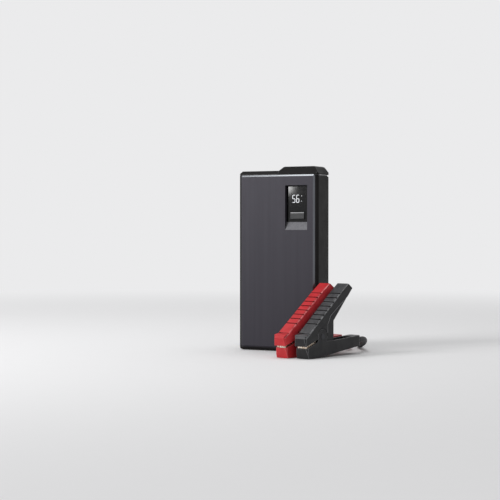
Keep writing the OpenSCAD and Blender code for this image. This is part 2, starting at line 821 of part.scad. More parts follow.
// One bar from the cell tabs up to a contact: foot, leg, jog and upper leg in one plane
module bus_bar(x0, x1, jog_z) {
    y0 = socket_y + 1.6;
    y1 = y0 + bus_t;
    foot_z = cell_top + tab_h;
    low = min(x0, x1) - bus_w / 2;
    high = max(x0, x1) + bus_w / 2;
    span([x0 - bus_w / 2, cell_y0 - 1, foot_z], [x0 + bus_w / 2,
        cell_y0 + (cell_count - 1) * cell_pitch + 1, foot_z + bus_t]);
    span([x0 - bus_w / 2, y0, foot_z], [x0 + bus_w / 2, y1, jog_z]);
    span([low, y0, jog_z - bus_w], [high, y1, jog_z]);
    span([x1 - bus_w / 2 + 1, y0, jog_z - bus_w], [x1 + bus_w / 2 - 1, y1, housing_h - socket_h - 1]);
}

module bus_bars() {
    color("#b87333") {
        bus_bar(tab_x, socket_x + contact_pitch / 2, cell_top + 20);
        bus_bar(-tab_x, socket_x - contact_pitch / 2, cell_top + 32);
    }
}

// ---------- clamps ----------

module at_red() {
    translate([red_at.x, red_at.y, 0]) rotate([0, 0, -red_turn]) children();
}

module at_black() {
    translate([black_at.x, black_at.y, 0]) rotate([0, 0, -black_turn]) children();
}

// Side view of the closed upper handle
module arm_outline() {
    polygon([
        mouth(mouth_t - 0.5, mouth_gap / 2), [-4.7, nose_h - 2.1], [-2.8, nose_h],
        ridge_t, ridge_end, arm_top, arm_tip, knee,
        [block_foot.x, knee.y - 3], block_foot, along(pivot, 0, ear_clear_r),
        pivot, mouth(mouth_end, mouth_gap / 2)]);
    translate(pivot) circle(ear_r);
}

// Rear of the neck, which dips into the lower handle
module neck_heel() {
    polygon([pivot, knee - [5, -1], knee + [2, 0.5], heel, [pivot.x + 4, heel.y]]);
}

// Room inside the upper handle, open towards the lower one
module arm_room() {
    inner = [sin(arm_slope), -cos(arm_slope)] * roof_t;
    flat = arm_slope - end_drop;
    tip_in = along(arm_top, -36, end_depth + 12) - [cos(flat), sin(flat)] * roof_t;
    top_in = along(arm_top, flat, -roof_t) + [sin(flat), -cos(flat)] * roof_t;
    polygon([
        [-0.8, 2], [-3.2, ceiling_z], [jaw_rear, ceiling_z],
        along(ridge_t, arm_slope, 12) + inner, ridge_end + inner, top_in, tip_in, knee + [2, -12],
        [pivot_t, 2]]);
}

// Lower part of the handle's side, set back a little
module arm_side_panel() {
    polygon([
        [panel_t, 10], [panel_t, knee.y - 2.5], knee + [-4.2, 5.1], arm_tip + [-11.5, -10.2],
        arm_tip + [-6.2, -6.8], arm_tip + [8, -4.2], arm_tip + [8, -20], knee + [5, -21.5]]);
}

// Grooves across the ribbed back
module grip_grooves() {
    far = [for (k = [0 : rib_count - 1]) groove_from[2] + k * rib_pitch];
    for (u = concat([groove_from[0], groove_from[1]], far)) {
        p = along(ridge_t, arm_slope, u);
        translate([0, p.x, p.y]) rotate([arm_slope, 0, 0])
            cube([clamp_w + 2, groove_w, 2 * groove_h], center = true);
    }
    translate([0, -4.7, nose_h - 2.1]) rotate([-55, 0, 0])
        cube([clamp_w + 2, groove_w, groove_h * 1.4], center = true);
}

// Bevels along both edges of the back
module back_bevels() {
    size = back_bevel * sqrt(2);
    for (s = [-1, 1]) {
        translate([s * half_w, ridge_t.x, ridge_t.y]) rotate([arm_slope, 0, 0])
            translate([0, rib_run / 2 - 4, 0]) rotate([0, 45, 0])
            cube([size, rib_run + 20, size], center = true);
        translate([s * half_w, ridge_end.x, ridge_end.y]) rotate([arm_slope - end_drop, 0, 0])
            translate([0, end_run / 2, 0]) rotate([0, 45, 0])
            cube([size, end_run + 4, size], center = true);
    }
}

// Nose seen from above, with cut front corners
module nose_plan(front, c) {
    polygon([
        [-half_w, 100], [-half_w, front + c], [-half_w + c, front], [half_w - c, front],
        [half_w, front + c], [half_w, 100]]);
}

module clamp_arm(shade) {
    color(shade) difference() {
        union() {
            difference() {
                intersection() {
                    side_prism(-half_w, half_w) arm_outline();
                    linear_extrude(100) nose_plan(-4.7, 1.8);
                }
                side_prism(-neck_out, neck_out) arm_room();
                // clearance for the lower handle's ears
                for (s = [0, 1]) mirror([s, 0, 0]) x_rod(neck_out - eps, half_w + 1, ear_clear_r,
                    pivot.x, pivot.y);
                for (s = [0, 1]) mirror([s, 0, 0])
                    side_prism(half_w - panel_step, half_w + 1) arm_side_panel();
            }
            for (s = [0, 1]) mirror([s, 0, 0]) side_prism(neck_in, neck_out) {
                intersection() {
                    arm_outline();
                    translate(pivot) circle(10);
                }
                neck_heel();
            }
            // ribs that tie the neck to the handle's sides
            for (s = [0, 1]) mirror([s, 0, 0]) side_prism(neck_in, neck_out + eps) intersection() {
                arm_outline();
                translate(pivot) difference() {
                    circle(10);
                    circle(ear_clear_r + 0.2);
                }
            }
        }
        grip_grooves();
        back_bevels();
        x_rod(-half_w, half_w, pivot_r + fit, pivot.x, pivot.y);
    }
}

// Side view of the lower handle without its ears
module base_outline() {
    polygon([
        [0, 0], mouth(mouth_t + 0.5, -mouth_gap / 2), mouth(mouth_end, -mouth_gap / 2), pivot,
        [pivot_t + 4.6, tail_z], [knee.x + 1, tail_z], [tail_len, exit_z + tail_h / 2],
        [tail_len, exit_z - tail_h / 2], [rise_t, 0]]);
}

module base_room() {
    end = tail_len - boot_in - 3;
    polygon([
        [nose_in(roof_t), roof_t], [nose_in(30), 30], [end, 30], [end, rise(end) + roof_t],
        [rise_t, roof_t]]);
}

module clamp_base(shade) {
    color(shade) difference() {
        union() {
            difference() {
                intersection() {
                    side_prism(-half_w, half_w) base_outline();
                    linear_extrude(100) nose_plan(-2.3, 1.6);
                    tail_plan();
                }
                side_prism(-base_in, base_in) base_room();
                // the tail is a little narrower than the cheeks
                for (s = [0, 1]) mirror([s, 0, 0])
                    span([half_w - panel_step, panel_t, -1], [half_w + 1, tail_len + 1, 60]);
            }
            for (s = [0, 1]) mirror([s, 0, 0]) x_rod(base_in, half_w, ear_r, pivot.x, pivot.y);
        }
        x_rod(-half_w - 1, half_w + 1, pivot_r + fit, pivot.x, pivot.y);
        y_rod(tail_len - boot_in, tail_len + 1, boot_root_r + fit, 0, exit_z);
    }
}

// Lower handle seen from above, with a rounded tail
module tail_plan() {
    r = 3;
    linear_extrude(60) {
        translate([-half_w, -10]) square([clamp_w, tail_len + 10 - r]);
        translate([-half_w + r, -10]) square([clamp_w - 2 * r, tail_len + 10]);
        for (s = [-1, 1]) translate([s * (half_w - r), tail_len - r]) circle(r);
    }
}

// Everything above the toothed edge of a jaw's sides; lift moves the edge up or down
module side_teeth(lift) {
    a = tooth_h / 2;
    steps = ceil(16 / tooth_pitch) * 2;
    edge = [for (i = [0 : steps]) mouth(0.4 + i * tooth_pitch / 2, (i % 2 == 0 ? a : -a) + lift)];
    polygon(concat(edge, [[20, 40], [0.4, 40]]));
}

// Everything above the toothed edge of a jaw's front lip
module front_teeth(lift, width) {
    a = tooth_h / 2;
    n = 8;
    z = mouth(-0.7)[1];
    edge = [for (i = [0 : n]) [-width + i * 2 * width / n, z + (i % 2 == 0 ? -a : a) + lift]];
    polygon(concat(edge, [[width, 40], [-width, 40]]));
}

module jaw_edge(lift, width) {
    side_prism(-half_w, half_w) side_teeth(lift);
    front_prism(-4, 0.4 + eps) front_teeth(lift, width + 0.5);
}

module lower_jaw() {
    w = base_in - 0.1;
    lip = -1.05;
    tooth_gap = 0.15;
    color("#b3713f") difference() {
        side_prism(-w, w) polygon([
            [nose_in(roof_t) + 0.1, roof_t], [11, roof_t], [11, 22], [lip, 22], [lip, 9.4]]);
        side_prism(-w + jaw_t, w - jaw_t) polygon([
            [nose_in(roof_t) + 0.1 + jaw_t, roof_t + jaw_t], [12, roof_t + jaw_t], [12, 30],
            [lip + jaw_t, 30], [lip + jaw_t, 9.4]]);
        jaw_edge(-tooth_gap, w);
    }
}

module upper_jaw() {
    w = neck_out - gap;
    lip = -1.6;
    tooth_gap = 0.15;
    color("#b3713f") intersection() {
        difference() {
            span([-w, lip, 5], [w, jaw_rear, ceiling_z]);
            span([-w + jaw_t, lip + jaw_t, 4], [w - jaw_t, jaw_rear + 1, ceiling_z - jaw_t]);
        }
        jaw_edge(tooth_gap, w);
    }
}

module pivot_pin() {
    head = 0.3;
    color("#55565a") {
        x_rod(-half_w - eps, half_w + eps, pivot_r, pivot.x, pivot.y);
        for (s = [0, 1]) mirror([s, 0, 0]) x_rod(half_w, half_w + head, pivot_r + 0.9, pivot.x, pivot.y);
    }
}

// Middle line of the spring: a leg to the floor of the tail, the coil, a leg to the handle's back
spring_len = spring_turns * spring_pitch;
spring_steps = 8 * spring_turns;
spring_from = 40;       // angle at which the coil starts
function coil_point(i) =
    let (a = spring_from - 360 * i / 8)
    [-spring_len / 2 + spring_pitch * i / 8, pivot.x + spring_r * cos(a), pivot.y + spring_r * sin(a)];
coil_path = [for (i = [0 : spring_steps]) coil_point(i)];
leg_t = pivot.x + 9;
roof_in_z = ridge_t.y + (leg_t - ridge_t.x) * tan(arm_slope)
    - (roof_t + spring_wire / 2 + 0.3) / cos(arm_slope);
leg_up = [coil_path[0].x, leg_t, roof_in_z];
foot_t = pivot.x + 12;
leg_down = [coil_path[spring_steps].x, foot_t, rise(foot_t) + roof_t + spring_wire / 2 + 0.3];
spring_path = concat([leg_up], coil_path, [leg_down]);
spring_gap = min([for (i = [0 : spring_steps - 6], j = [i + 6 : spring_steps])
    norm(coil_path[i] - coil_path[j])]) - spring_wire;
echo(least_gap_of_spring_to_itself_mm = spring_gap);

module clamp_spring() {
    n = len(spring_path);
    color("#8f9092") tube(spring_path, spring_wire / 2, 6, [1, 0, 0],
        [unit(spring_path[1] - spring_path[0]), unit(spring_path[n - 1] - spring_path[n - 2])]);
}

module lead_boot(shade) {
    color(shade) {
        y_rod(tail_len - boot_in, tail_len + eps, boot_root_r, 0, exit_z);
        translate([0, tail_len, exit_z]) rotate([-90, 0, 0])
            cylinder(h = boot_out, r1 = boot_root_r, r2 = lead_r + 0.1);
    }
}

red = "#c62f35";
black = "#2a2b2b";

module red_clamp_base() { at_red() clamp_base(red); }
module red_clamp_arm() { at_red() clamp_arm(red); }
module red_lower_jaw() { at_red() lower_jaw(); }
module red_upper_jaw() { at_red() upper_jaw(); }
module red_pivot_pin() { at_red() pivot_pin(); }
module red_clamp_spring() { at_red() clamp_spring(); }
module red_lead_boot() { at_red() lead_boot(red); }
module black_clamp_base() { at_black() clamp_base(black); }
module black_clamp_arm() { at_black() clamp_arm(black); }
module black_lower_jaw() { at_black() lower_jaw(); }
module black_upper_jaw() { at_black() upper_jaw(); }
module black_pivot_pin() { at_black() pivot_pin(); }
module black_clamp_spring() { at_black() clamp_spring(); }
module black_lead_boot() { at_black() lead_boot(black); }

// ---------- lead and plug ----------

module lead(at, turn, route, side, shade) {
    color(shade) tube(concat([lead_exit(at, turn)], route, [plug_entry(side)]), lead_r, 8, [0, 0, 1],
        [lead_dir(turn), plug_dir]);
}

module red_lead() { lead(red_at, red_turn, red_route, 1, red); }
module black_lead() { lead(black_at, black_turn, black_route, -1, black); }

module place_plug() {
    translate([plug_at.x, plug_at.y, plug_z]) rotate([0, 0, plug_turn]) children();
}

module jump_plug() {
    color("#1b2f52") place_plug() difference() {
        union() {
            front_prism(-plug_l, 0) round_rect(plug_w, plug_h, 1.6);
            front_prism(-plug_l - plug_nose.z, -plug_l + eps) round_rect(plug_nose.x, plug_nose.y, 1);
        }
        for (y = [-plug_l + 4 : 2 : -6], s = [-1, 1])
            span([s * plug_w / 2 - 0.5, y - 0.5, -3], [s * plug_w / 2 + 0.5, y + 0.5, 3]);
        for (s = [-1, 1])
            y_rod(-plug_l - plug_nose.z - 1, -plug_l + 4, bullet_r, s * contact_pitch / 2, 0);
    }
}

module plug_bullets() {
    color("#c9a24a") place_plug() for (s = [-1, 1]) {
        y_rod(-plug_l - plug_nose.z - bullet_l, -plug_l + 4, bullet_r - fit, s * contact_pitch / 2, 0);
    }
}

front_shell();
rear_shell();
face_plate();
port_deck();
top_cap();
port_cover();
cover_hinge_pin();
display_lens();
display_module();
power_button();
button_switch();
main_board();
work_light_lens();
work_light_led();
jump_socket();
jump_contacts();
usb_a_port();
usb_c_port();
battery_tray();
battery_cells();
bus_bars();
case_screws();
red_clamp_base();
red_clamp_arm();
red_lower_jaw();
red_upper_jaw();
red_pivot_pin();
red_clamp_spring();
red_lead_boot();
black_clamp_base();
black_clamp_arm();
black_lower_jaw();
black_upper_jaw();
black_pivot_pin();
black_clamp_spring();
black_lead_boot();
red_lead();
black_lead();
jump_plug();
plug_bullets();
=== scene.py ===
"""Jump starter pack with its clamp lead: camera, finishes, small visible pieces, leads, light."""

import math

import bmesh
import bpy
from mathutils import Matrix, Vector


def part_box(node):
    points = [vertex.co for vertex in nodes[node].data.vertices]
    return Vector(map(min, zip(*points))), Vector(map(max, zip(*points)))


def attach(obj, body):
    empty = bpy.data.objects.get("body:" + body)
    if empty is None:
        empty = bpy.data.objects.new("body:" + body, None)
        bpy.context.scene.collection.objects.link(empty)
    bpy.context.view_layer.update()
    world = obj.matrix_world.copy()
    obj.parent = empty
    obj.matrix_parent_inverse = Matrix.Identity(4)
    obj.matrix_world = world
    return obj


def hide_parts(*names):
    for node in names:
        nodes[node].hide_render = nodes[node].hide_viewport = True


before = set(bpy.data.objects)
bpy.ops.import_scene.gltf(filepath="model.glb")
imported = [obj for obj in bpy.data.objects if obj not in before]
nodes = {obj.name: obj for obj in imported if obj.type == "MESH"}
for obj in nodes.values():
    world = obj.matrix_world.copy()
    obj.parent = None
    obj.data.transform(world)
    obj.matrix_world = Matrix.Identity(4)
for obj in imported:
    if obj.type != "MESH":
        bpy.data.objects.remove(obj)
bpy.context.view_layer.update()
MM = 0.001
UP = Vector((0, 0, 1))


def put(name, data):
    """Puts a new object with this data into the scene."""
    made = bpy.data.objects.new(name, data)
    bpy.context.scene.collection.objects.link(made)
    return made


# ---------- camera ----------

# The eye is 1.25 m from the pack's base, 25.5 degrees round to its right, 0.114 m above the floor
EYE_TURN = math.radians(25.528)
EYE_FAR = 1.25
EYE_UP = 0.1142
LOOK_LEFT = math.radians(1.447)
LOOK_DOWN = math.radians(0.927)
SENSOR_MM = 36
FRAME_PX = 500
LENS_PX = 1330.1

cam_data = bpy.data.cameras.new("studio_camera")
cam_data.sensor_width = SENSOR_MM
cam_data.lens = SENSOR_MM * LENS_PX / FRAME_PX
cam = put("studio_camera", cam_data)
cam.location = (EYE_FAR * math.sin(EYE_TURN), -EYE_FAR * math.cos(EYE_TURN), EYE_UP)
cam.rotation_euler = (math.pi / 2 - LOOK_DOWN, 0, EYE_TURN + LOOK_LEFT)
bpy.context.scene.camera = cam
bpy.context.scene.view_settings.view_transform = "Standard"


# ---------- colours and shader nodes ----------

# The middle of a noise's range, where nearly all of it lies
PATTERN_SPAN = (0.35, 0.65)


def linear(code):
    """sRGB hex code to a linear colour."""
    parts = [int(code[i:i + 2], 16) / 255 for i in (1, 3, 5)]
    return tuple(c / 12.92 if c <= 0.04045 else ((c + 0.055) / 1.055) ** 2.4
                 for c in parts) + (1.0,)


def add(mat, kind, links=(), **settings):
    """Adds a node; settings that start with in_ fill a socket, links are (socket, output) pairs."""
    node = mat.node_tree.nodes.new("ShaderNode" + kind)
    for key, value in settings.items():
        if key.startswith("in_"):
            node.inputs[key[3:].replace("_", " ")].default_value = value
        else:
            setattr(node, key, value)
    for socket, output in links:
        mat.node_tree.links.new(output, node.inputs[socket])
    return node


def surface(name, colour, rough, **sockets):
    """A material; sockets are set on its main shader itself."""
    mat = bpy.data.materials.new(name)
    mat.use_nodes = True
    shader = mat.node_tree.nodes["Principled BSDF"]
    shader.inputs["Base Color"].default_value = linear(colour)
    shader.inputs["Roughness"].default_value = rough
    for key, value in sockets.items():
        shader.inputs[key.replace("_", " ")].default_value = value
    return mat


def drive(mat, socket, output):
    """Links an output to a socket of the material's main shader."""
    mat.node_tree.links.new(output, mat.node_tree.nodes["Principled BSDF"].inputs[socket])


def speckle(mat, size_mm, detail, stretch):
    """Noise whose grains are size_mm across; stretch lengthens them along an axis."""
    place = add(mat, "TexCoord")
    scaled = add(mat, "Mapping", [("Vector", place.outputs["Object"])],
                 in_Scale=tuple(1 / s for s in stretch))
    return add(mat, "TexNoise", [("Vector", scaled.outputs[0])], in_Scale=1 / (size_mm * MM),
               in_Detail=detail)


def shade_by(mat, socket, pattern, low, high):
    """Drives a socket by a pattern, between two values or two colours."""
    if isinstance(low, str):
        ramp = add(mat, "ValToRGB", [("Fac", pattern.outputs[0])])
        for stop, at, colour in zip(ramp.color_ramp.elements, PATTERN_SPAN, (low, high)):
            stop.position = at
            stop.color = linear(colour)
        drive(mat, socket, ramp.outputs[0])
    else:
        ranged = add(mat, "MapRange", [("Value", pattern.outputs[0])],
                     in_From_Min=PATTERN_SPAN[0], in_From_Max=PATTERN_SPAN[1],
                     in_To_Min=low, in_To_Max=high)
        drive(mat, socket, ranged.outputs[0])


def mottle(mat, socket, size_mm, low, high, detail=2, stretch=(1, 1, 1)):
    """Varies a socket in patches size_mm across, between two values or two colours."""
    shade_by(mat, socket, speckle(mat, size_mm, detail, stretch), low, high)


def grain(mat, size_mm, depth_mm, detail=3, stretch=(1, 1, 1)):
    """Raises the surface in grains size_mm across and depth_mm high."""
    height = speckle(mat, size_mm, detail, stretch)
    bump = add(mat, "Bump", [("Height", height.outputs[0])], in_Distance=depth_mm * MM,
               in_Strength=1.0)
    drive(mat, "Normal", bump.outputs[0])


# ---------- materials of the pack ----------

# Spark-eroded ABS: a matt grain of about 0.2 mm, drawn at 0.45 mm to show, breaks up the sheen
housing_abs = surface("spark_eroded_abs_black", "#1b1a1a", 0.45, Specular_IOR_Level=0.08)
grain(housing_abs, 0.45, 0.02)
mottle(housing_abs, "Roughness", 14, 0.4, 0.5)
mottle(housing_abs, "Base Color", 22, "#151414", "#1a1919")

# ABS edges in a satin dark grey, in patches: a painted highlight along the broken edges
edge_highlight_housing = surface("painted_highlight_abs_dark", "#353436", 0.34, Specular_IOR_Level=0.2)
mottle(edge_highlight_housing, "Base Color", 6, "#2a292b", "#424143", 3)

# ABS edges in a pale grey line: a painted highlight
rim_highlight = surface("painted_highlight_abs_pale", "#6a696c", 0.34, Specular_IOR_Level=0.3)
mottle(rim_highlight, "Base Color", 6, "#6e6d70", "#9c9b9e", 3)

# Anodised aluminium, brushed upright: a violet grey that streaks faintly along the brushing. The
# strokes are about 0.1 mm apart and are drawn at 0.35 mm to show
BRUSHED = (1, 1, 90)
plate_anodised = surface("anodised_aluminium_brushed", "#302e35", 0.42, Metallic=0.2,
                         Specular_IOR_Level=0.2)
grain(plate_anodised, 0.35, 0.003, 4, BRUSHED)
mottle(plate_anodised, "Base Color", 5, "#2d2b32", "#302e35", 3, (1, 1, 40))
mottle(plate_anodised, "Roughness", 0.35, 0.38, 0.46, 4, BRUSHED)

# Bare bright aluminium on the plate's top bevel only, where light catches it: a painted highlight
plate_top_highlight = surface("bare_aluminium_painted_highlight", "#8e9195", 0.24, Metallic=1.0)
mottle(plate_top_highlight, "Roughness", 1.5, 0.18, 0.28, 2, (1, 1, 12))

# The right bevel, paler and metallic: a painted highlight that shines but stays darker
plate_right_highlight = surface("anodised_aluminium_painted_highlight", "#63656a", 0.3, Metallic=1.0)
mottle(plate_right_highlight, "Roughness", 1.5, 0.26, 0.36, 2, (1, 1, 12))

# Bead-blasted aluminium of the sill: an even pale grit of about 0.3 mm, drawn at 0.5 mm to show.
# Its paler colour, on faces that look up, is painted light from above
sill_grit_and_light = surface("bead_blasted_aluminium_painted_light", "#5e5e62", 0.55, Metallic=0.4)
grain(sill_grit_and_light, 0.5, 0.05)
mottle(sill_grit_and_light, "Base Color", 0.9, "#535357", "#69696d", 3)

# Cast acrylic, smoked: near black with a polished face
lens_acrylic = surface("smoked_acrylic", "#040405", 0.055, Specular_IOR_Level=0.3)
mottle(lens_acrylic, "Roughness", 9, 0.05, 0.06)

# Painted shade along the edges of the display's face: a flat black that doesn't shine
window_edge_shade = surface("painted_shade_black", "#0b0b0d", 0.6, Specular_IOR_Level=0.2)
mottle(window_edge_shade, "Roughness", 1.5, 0.5, 0.7)

# Lit segments behind the smoked face: an even cool white
segment_lit = surface("lit_display_segment", "#5a5c60", 0.4,
                      Emission_Color=linear("#e8eaee"), Emission_Strength=1.3)
mottle(segment_lit, "Roughness", 1, 0.35, 0.45)

# Painted ABS of the button: a satin grey with a fine orange peel
button_abs = surface("painted_abs_grey", "#1d1d1f", 0.34, Specular_IOR_Level=0.3)
grain(button_abs, 0.5, 0.006, 2)
mottle(button_abs, "Roughness", 6, 0.3, 0.4)

# The button's upper edge, painted pale: a painted highlight
button_highlight = surface("painted_highlight_grey", "#bcbcbe", 0.4, Specular_IOR_Level=0.4)
mottle(button_highlight, "Roughness", 6, 0.36, 0.46)

# Polycarbonate over the work light: clear, with a faint moulded prism pattern
light_clear = surface("clear_polycarbonate", "#eef2f4", 0.06, IOR=1.58, Transmission_Weight=0.9)
grain(light_clear, 0.8, 0.05, 1)

# Phosphor over the work light's chip: a chalky yellow
led_phosphor = surface("led_phosphor", "#e9dc8a", 0.5)
mottle(led_phosphor, "Roughness", 0.5, 0.4, 0.6)

# Solder resist over glass fibre: a green that clouds where copper lies under it
board_resist = surface("solder_resist_green", "#1d5c3c", 0.35)
mottle(board_resist, "Base Color", 3, "#17492f", "#24704a", 4)

# Foil laminate of the pouch cells: dull silver with shallow dents
cell_foil = surface("pouch_foil", "#9aa0a6", 0.35, Metallic=0.8)
grain(cell_foil, 6, 0.15)

# Moulded polystyrene of the tray: black with a fine grain
tray_styrene = surface("moulded_polystyrene_black", "#27272a", 0.5)
grain(tray_styrene, 0.8, 0.02)

# Rolled copper bar: salmon, with a sheen that streaks along the rolling
bar_copper = surface("rolled_copper", "#c07a4c", 0.3, Metallic=1.0)
mottle(bar_copper, "Roughness", 0.6, 0.22, 0.4, 3, (1, 1, 20))

# ---------- materials of the clamps and the lead ----------

# Glass-filled nylon: satin, with the fine grain of its mould, drawn at 0.6 mm to show, and a
# slight mottle where the glass has gathered
clamp_red = surface("moulded_nylon_red", "#b92c31", 0.42, Specular_IOR_Level=0.3)
grain(clamp_red, 0.6, 0.02)
mottle(clamp_red, "Base Color", 9, "#aa2328", "#b82a2f")
mottle(clamp_red, "Roughness", 5, 0.36, 0.5)

clamp_black = surface("moulded_nylon_black", "#232325", 0.44, Specular_IOR_Level=0.22)
grain(clamp_black, 0.6, 0.02)
mottle(clamp_black, "Base Color", 9, "#202022", "#282829")
mottle(clamp_black, "Roughness", 5, 0.38, 0.52)

# The black handle's ribs, grey: partly rubbed by the palm, partly painted light on their tops
rib_wear_and_light_black = surface("palm_rubbed_and_painted_light_nylon_black", "#38383a", 0.4, Specular_IOR_Level=0.28)
grain(rib_wear_and_light_black, 0.6, 0.02)
mottle(rib_wear_and_light_black, "Base Color", 5, "#313133", "#444446", 3)
mottle(rib_wear_and_light_black, "Roughness", 5, 0.36, 0.48)

# The red handle's flanks, a brighter red: painted light on a side the lamps leave in shade
flank_light_red = surface("painted_light_nylon_red", "#dc3d43", 0.36, Specular_IOR_Level=0.35)
mottle(flank_light_red, "Base Color", 9, "#cf363c", "#e3444a")

# Nylon edges, paler in patches: a painted highlight
edge_highlight_red = surface("painted_highlight_nylon_red", "#d05a5c", 0.34, Specular_IOR_Level=0.4)
mottle(edge_highlight_red, "Base Color", 4, "#b2353a", "#d46a6c", 3)

edge_highlight_black = surface("painted_highlight_nylon_black", "#5c5c5e", 0.34, Specular_IOR_Level=0.4)
mottle(edge_highlight_black, "Base Color", 4, "#38383a", "#78787a", 3)

# Painted shade in the grip's grooves: dark and dull
groove_shade_red = surface("painted_groove_shade_red", "#5c1517", 0.7, Specular_IOR_Level=0.1)
mottle(groove_shade_red, "Base Color", 2, "#4c1113", "#6c1b1d", 3)

groove_shade_black = surface("painted_groove_shade_black", "#0b0b0c", 0.7, Specular_IOR_Level=0.1)
mottle(groove_shade_black, "Base Color", 2, "#080809", "#111112", 3)

# Broken edges of the handles: painted shade along the grip, a painted highlight at the nose,
# which starts between these two depths
GRIP_END, NOSE_START = -66.5 * MM, -69.5 * MM
edge_shade_and_highlight_red = surface("painted_edge_shade_and_highlight_red", "#5c1517", 0.5, Specular_IOR_Level=0.25)
edge_shade_and_highlight_black = surface("painted_edge_shade_and_highlight_black", "#0b0b0c", 0.5, Specular_IOR_Level=0.25)
for painted_edge, shaded, highlighted in ((edge_shade_and_highlight_red, "#651719", "#bd3e42"),
                               (edge_shade_and_highlight_black, "#0b0b0c", "#5c5c5e")):
    place = add(painted_edge, "TexCoord")
    depth = add(painted_edge, "SeparateXYZ", [(0, place.outputs["Object"])])
    to_nose = add(painted_edge, "MapRange", [("Value", depth.outputs["Y"])],
                  in_From_Min=GRIP_END, in_From_Max=NOSE_START)
    shade_by(painted_edge, "Base Color", to_nose, shaded, highlighted)

# Extruded silicone: a soft matt skin with faint long waves from the die
lead_red = surface("extruded_silicone_red", "#b0272e", 0.55)
grain(lead_red, 1.2, 0.02)
mottle(lead_red, "Base Color", 12, "#a9252c", "#b82b32")

lead_black = surface("extruded_silicone_black", "#232325", 0.55, Specular_IOR_Level=0.35)
grain(lead_black, 1.2, 0.02)
mottle(lead_black, "Base Color", 12, "#202022", "#28282a")

# Tinned copper sheet, stamped: a greyed copper with tarnish in patches
jaw_copper = surface("stamped_tinned_copper", "#d2c6b8", 0.33, Metallic=1.0)
mottle(jaw_copper, "Base Color", 2.5, "#bda68f", "#e2dacf", 4)
mottle(jaw_copper, "Roughness", 1.2, 0.26, 0.44, 3)

# Zinc-plated steel of springs, the hinge pin and port shells: a cool grey with a patchy shine
steel_zinc = surface("zinc_plated_steel", "#a9abae", 0.3, Metallic=1.0)
mottle(steel_zinc, "Roughness", 0.8, 0.22, 0.4, 3)
mottle(steel_zinc, "Base Color", 2, "#9a9ca0", "#b4b6b9", 3)

# Blackened steel of the case screws and the clamps' pivots: dark, with a dull shine
steel_black = surface("blackened_steel", "#3c3c3f", 0.36, Metallic=0.9)
mottle(steel_black, "Roughness", 0.7, 0.3, 0.45, 3)

# Gold flash over brass on the contacts: a warm bright yellow
contact_gold = surface("gold_plated_brass", "#d9b45c", 0.2, Metallic=1.0)
mottle(contact_gold, "Roughness", 1, 0.14, 0.28, 3)

# Nylon of the plug and its socket, dyed blue: matt, with a slight grain
plug_nylon = surface("moulded_nylon_blue", "#1f3f7d", 0.5, Specular_IOR_Level=0.3)
grain(plug_nylon, 0.6, 0.012)
mottle(plug_nylon, "Roughness", 4, 0.46, 0.54)


# ---------- finishes of the imported solids ----------

# Clamp edges, grooves, flanks and ribs carry painted highlights, painted shade and painted light
CLAMP_FINISH = {
    "red": {"nylon": clamp_red, "base_edge": edge_highlight_red, "arm_edge": edge_shade_and_highlight_red,
            "long_bevel": edge_highlight_red, "groove": groove_shade_red, "flank": flank_light_red, "ribs": clamp_red,
            "panel_edge": edge_highlight_red, "lead": lead_red},
    "black": {"nylon": clamp_black, "base_edge": edge_highlight_black, "arm_edge": edge_shade_and_highlight_black,
              "long_bevel": edge_highlight_black, "groove": groove_shade_black, "flank": clamp_black,
              "ribs": rib_wear_and_light_black, "panel_edge": rim_highlight, "lead": lead_black},
}
NODE_FINISH = {
    "front_shell": housing_abs, "rear_shell": housing_abs, "port_deck": housing_abs,
    "top_cap": housing_abs, "port_cover": housing_abs, "cover_hinge_pin": steel_zinc,
    "face_plate": plate_anodised, "display_lens": lens_acrylic, "display_module": lens_acrylic,
    "power_button": button_abs, "button_switch": steel_zinc, "main_board": board_resist,
    "work_light_lens": light_clear, "work_light_led": led_phosphor,
    "jump_socket": plug_nylon, "jump_contacts": contact_gold,
    "usb_a_port": steel_zinc, "usb_c_port": steel_zinc, "battery_tray": tray_styrene,
    "battery_cells": cell_foil, "bus_bars": bar_copper, "case_screws": steel_black,
    "jump_plug": plug_nylon, "plug_bullets": contact_gold,
}
for shade, finish in CLAMP_FINISH.items():
    NODE_FINISH.update({
        f"{shade}_clamp_base": finish["nylon"], f"{shade}_clamp_arm": finish["nylon"],
        f"{shade}_lower_jaw": jaw_copper, f"{shade}_upper_jaw": jaw_copper,
        f"{shade}_pivot_pin": steel_black, f"{shade}_clamp_spring": steel_zinc,
        f"{shade}_lead_boot": finish["lead"], f"{shade}_lead": finish["lead"]})

for name, finish in NODE_FINISH.items():
    mesh = nodes[name].data
    mesh.materials.clear()
    mesh.materials.append(finish)

# Painted highlights on the plate's top and right bevels; the sill at the window's foot is
# bead-blasted and painted lighter. A bevel's faces lean out of the front; the top one is the top
# 2 mm of the plate, and the sill is more than 20 mm below that
plate = nodes["face_plate"].data
for finish in (plate_top_highlight, sill_grit_and_light, plate_right_highlight):
    plate.materials.append(finish)
TOP_LIT, SILL_LIT, RIGHT_LIT = 1, 2, 3
TOP_BEVEL, SILL_BELOW = 2 * MM, 20 * MM
plate_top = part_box("face_plate")[1][2]
for face in plate.polygons:
    normal, middle = face.normal, face.center
    in_bevel = -0.9 < normal.y < -0.5
    if in_bevel and normal.z > 0.5 and middle.z > plate_top - TOP_BEVEL:
        face.material_index = TOP_LIT
    elif in_bevel and normal.x > 0.5:
        face.material_index = RIGHT_LIT
    elif normal.z > 0.3 and middle.z < plate_top - SILL_BELOW and middle.x > 0:
        face.material_index = SILL_LIT

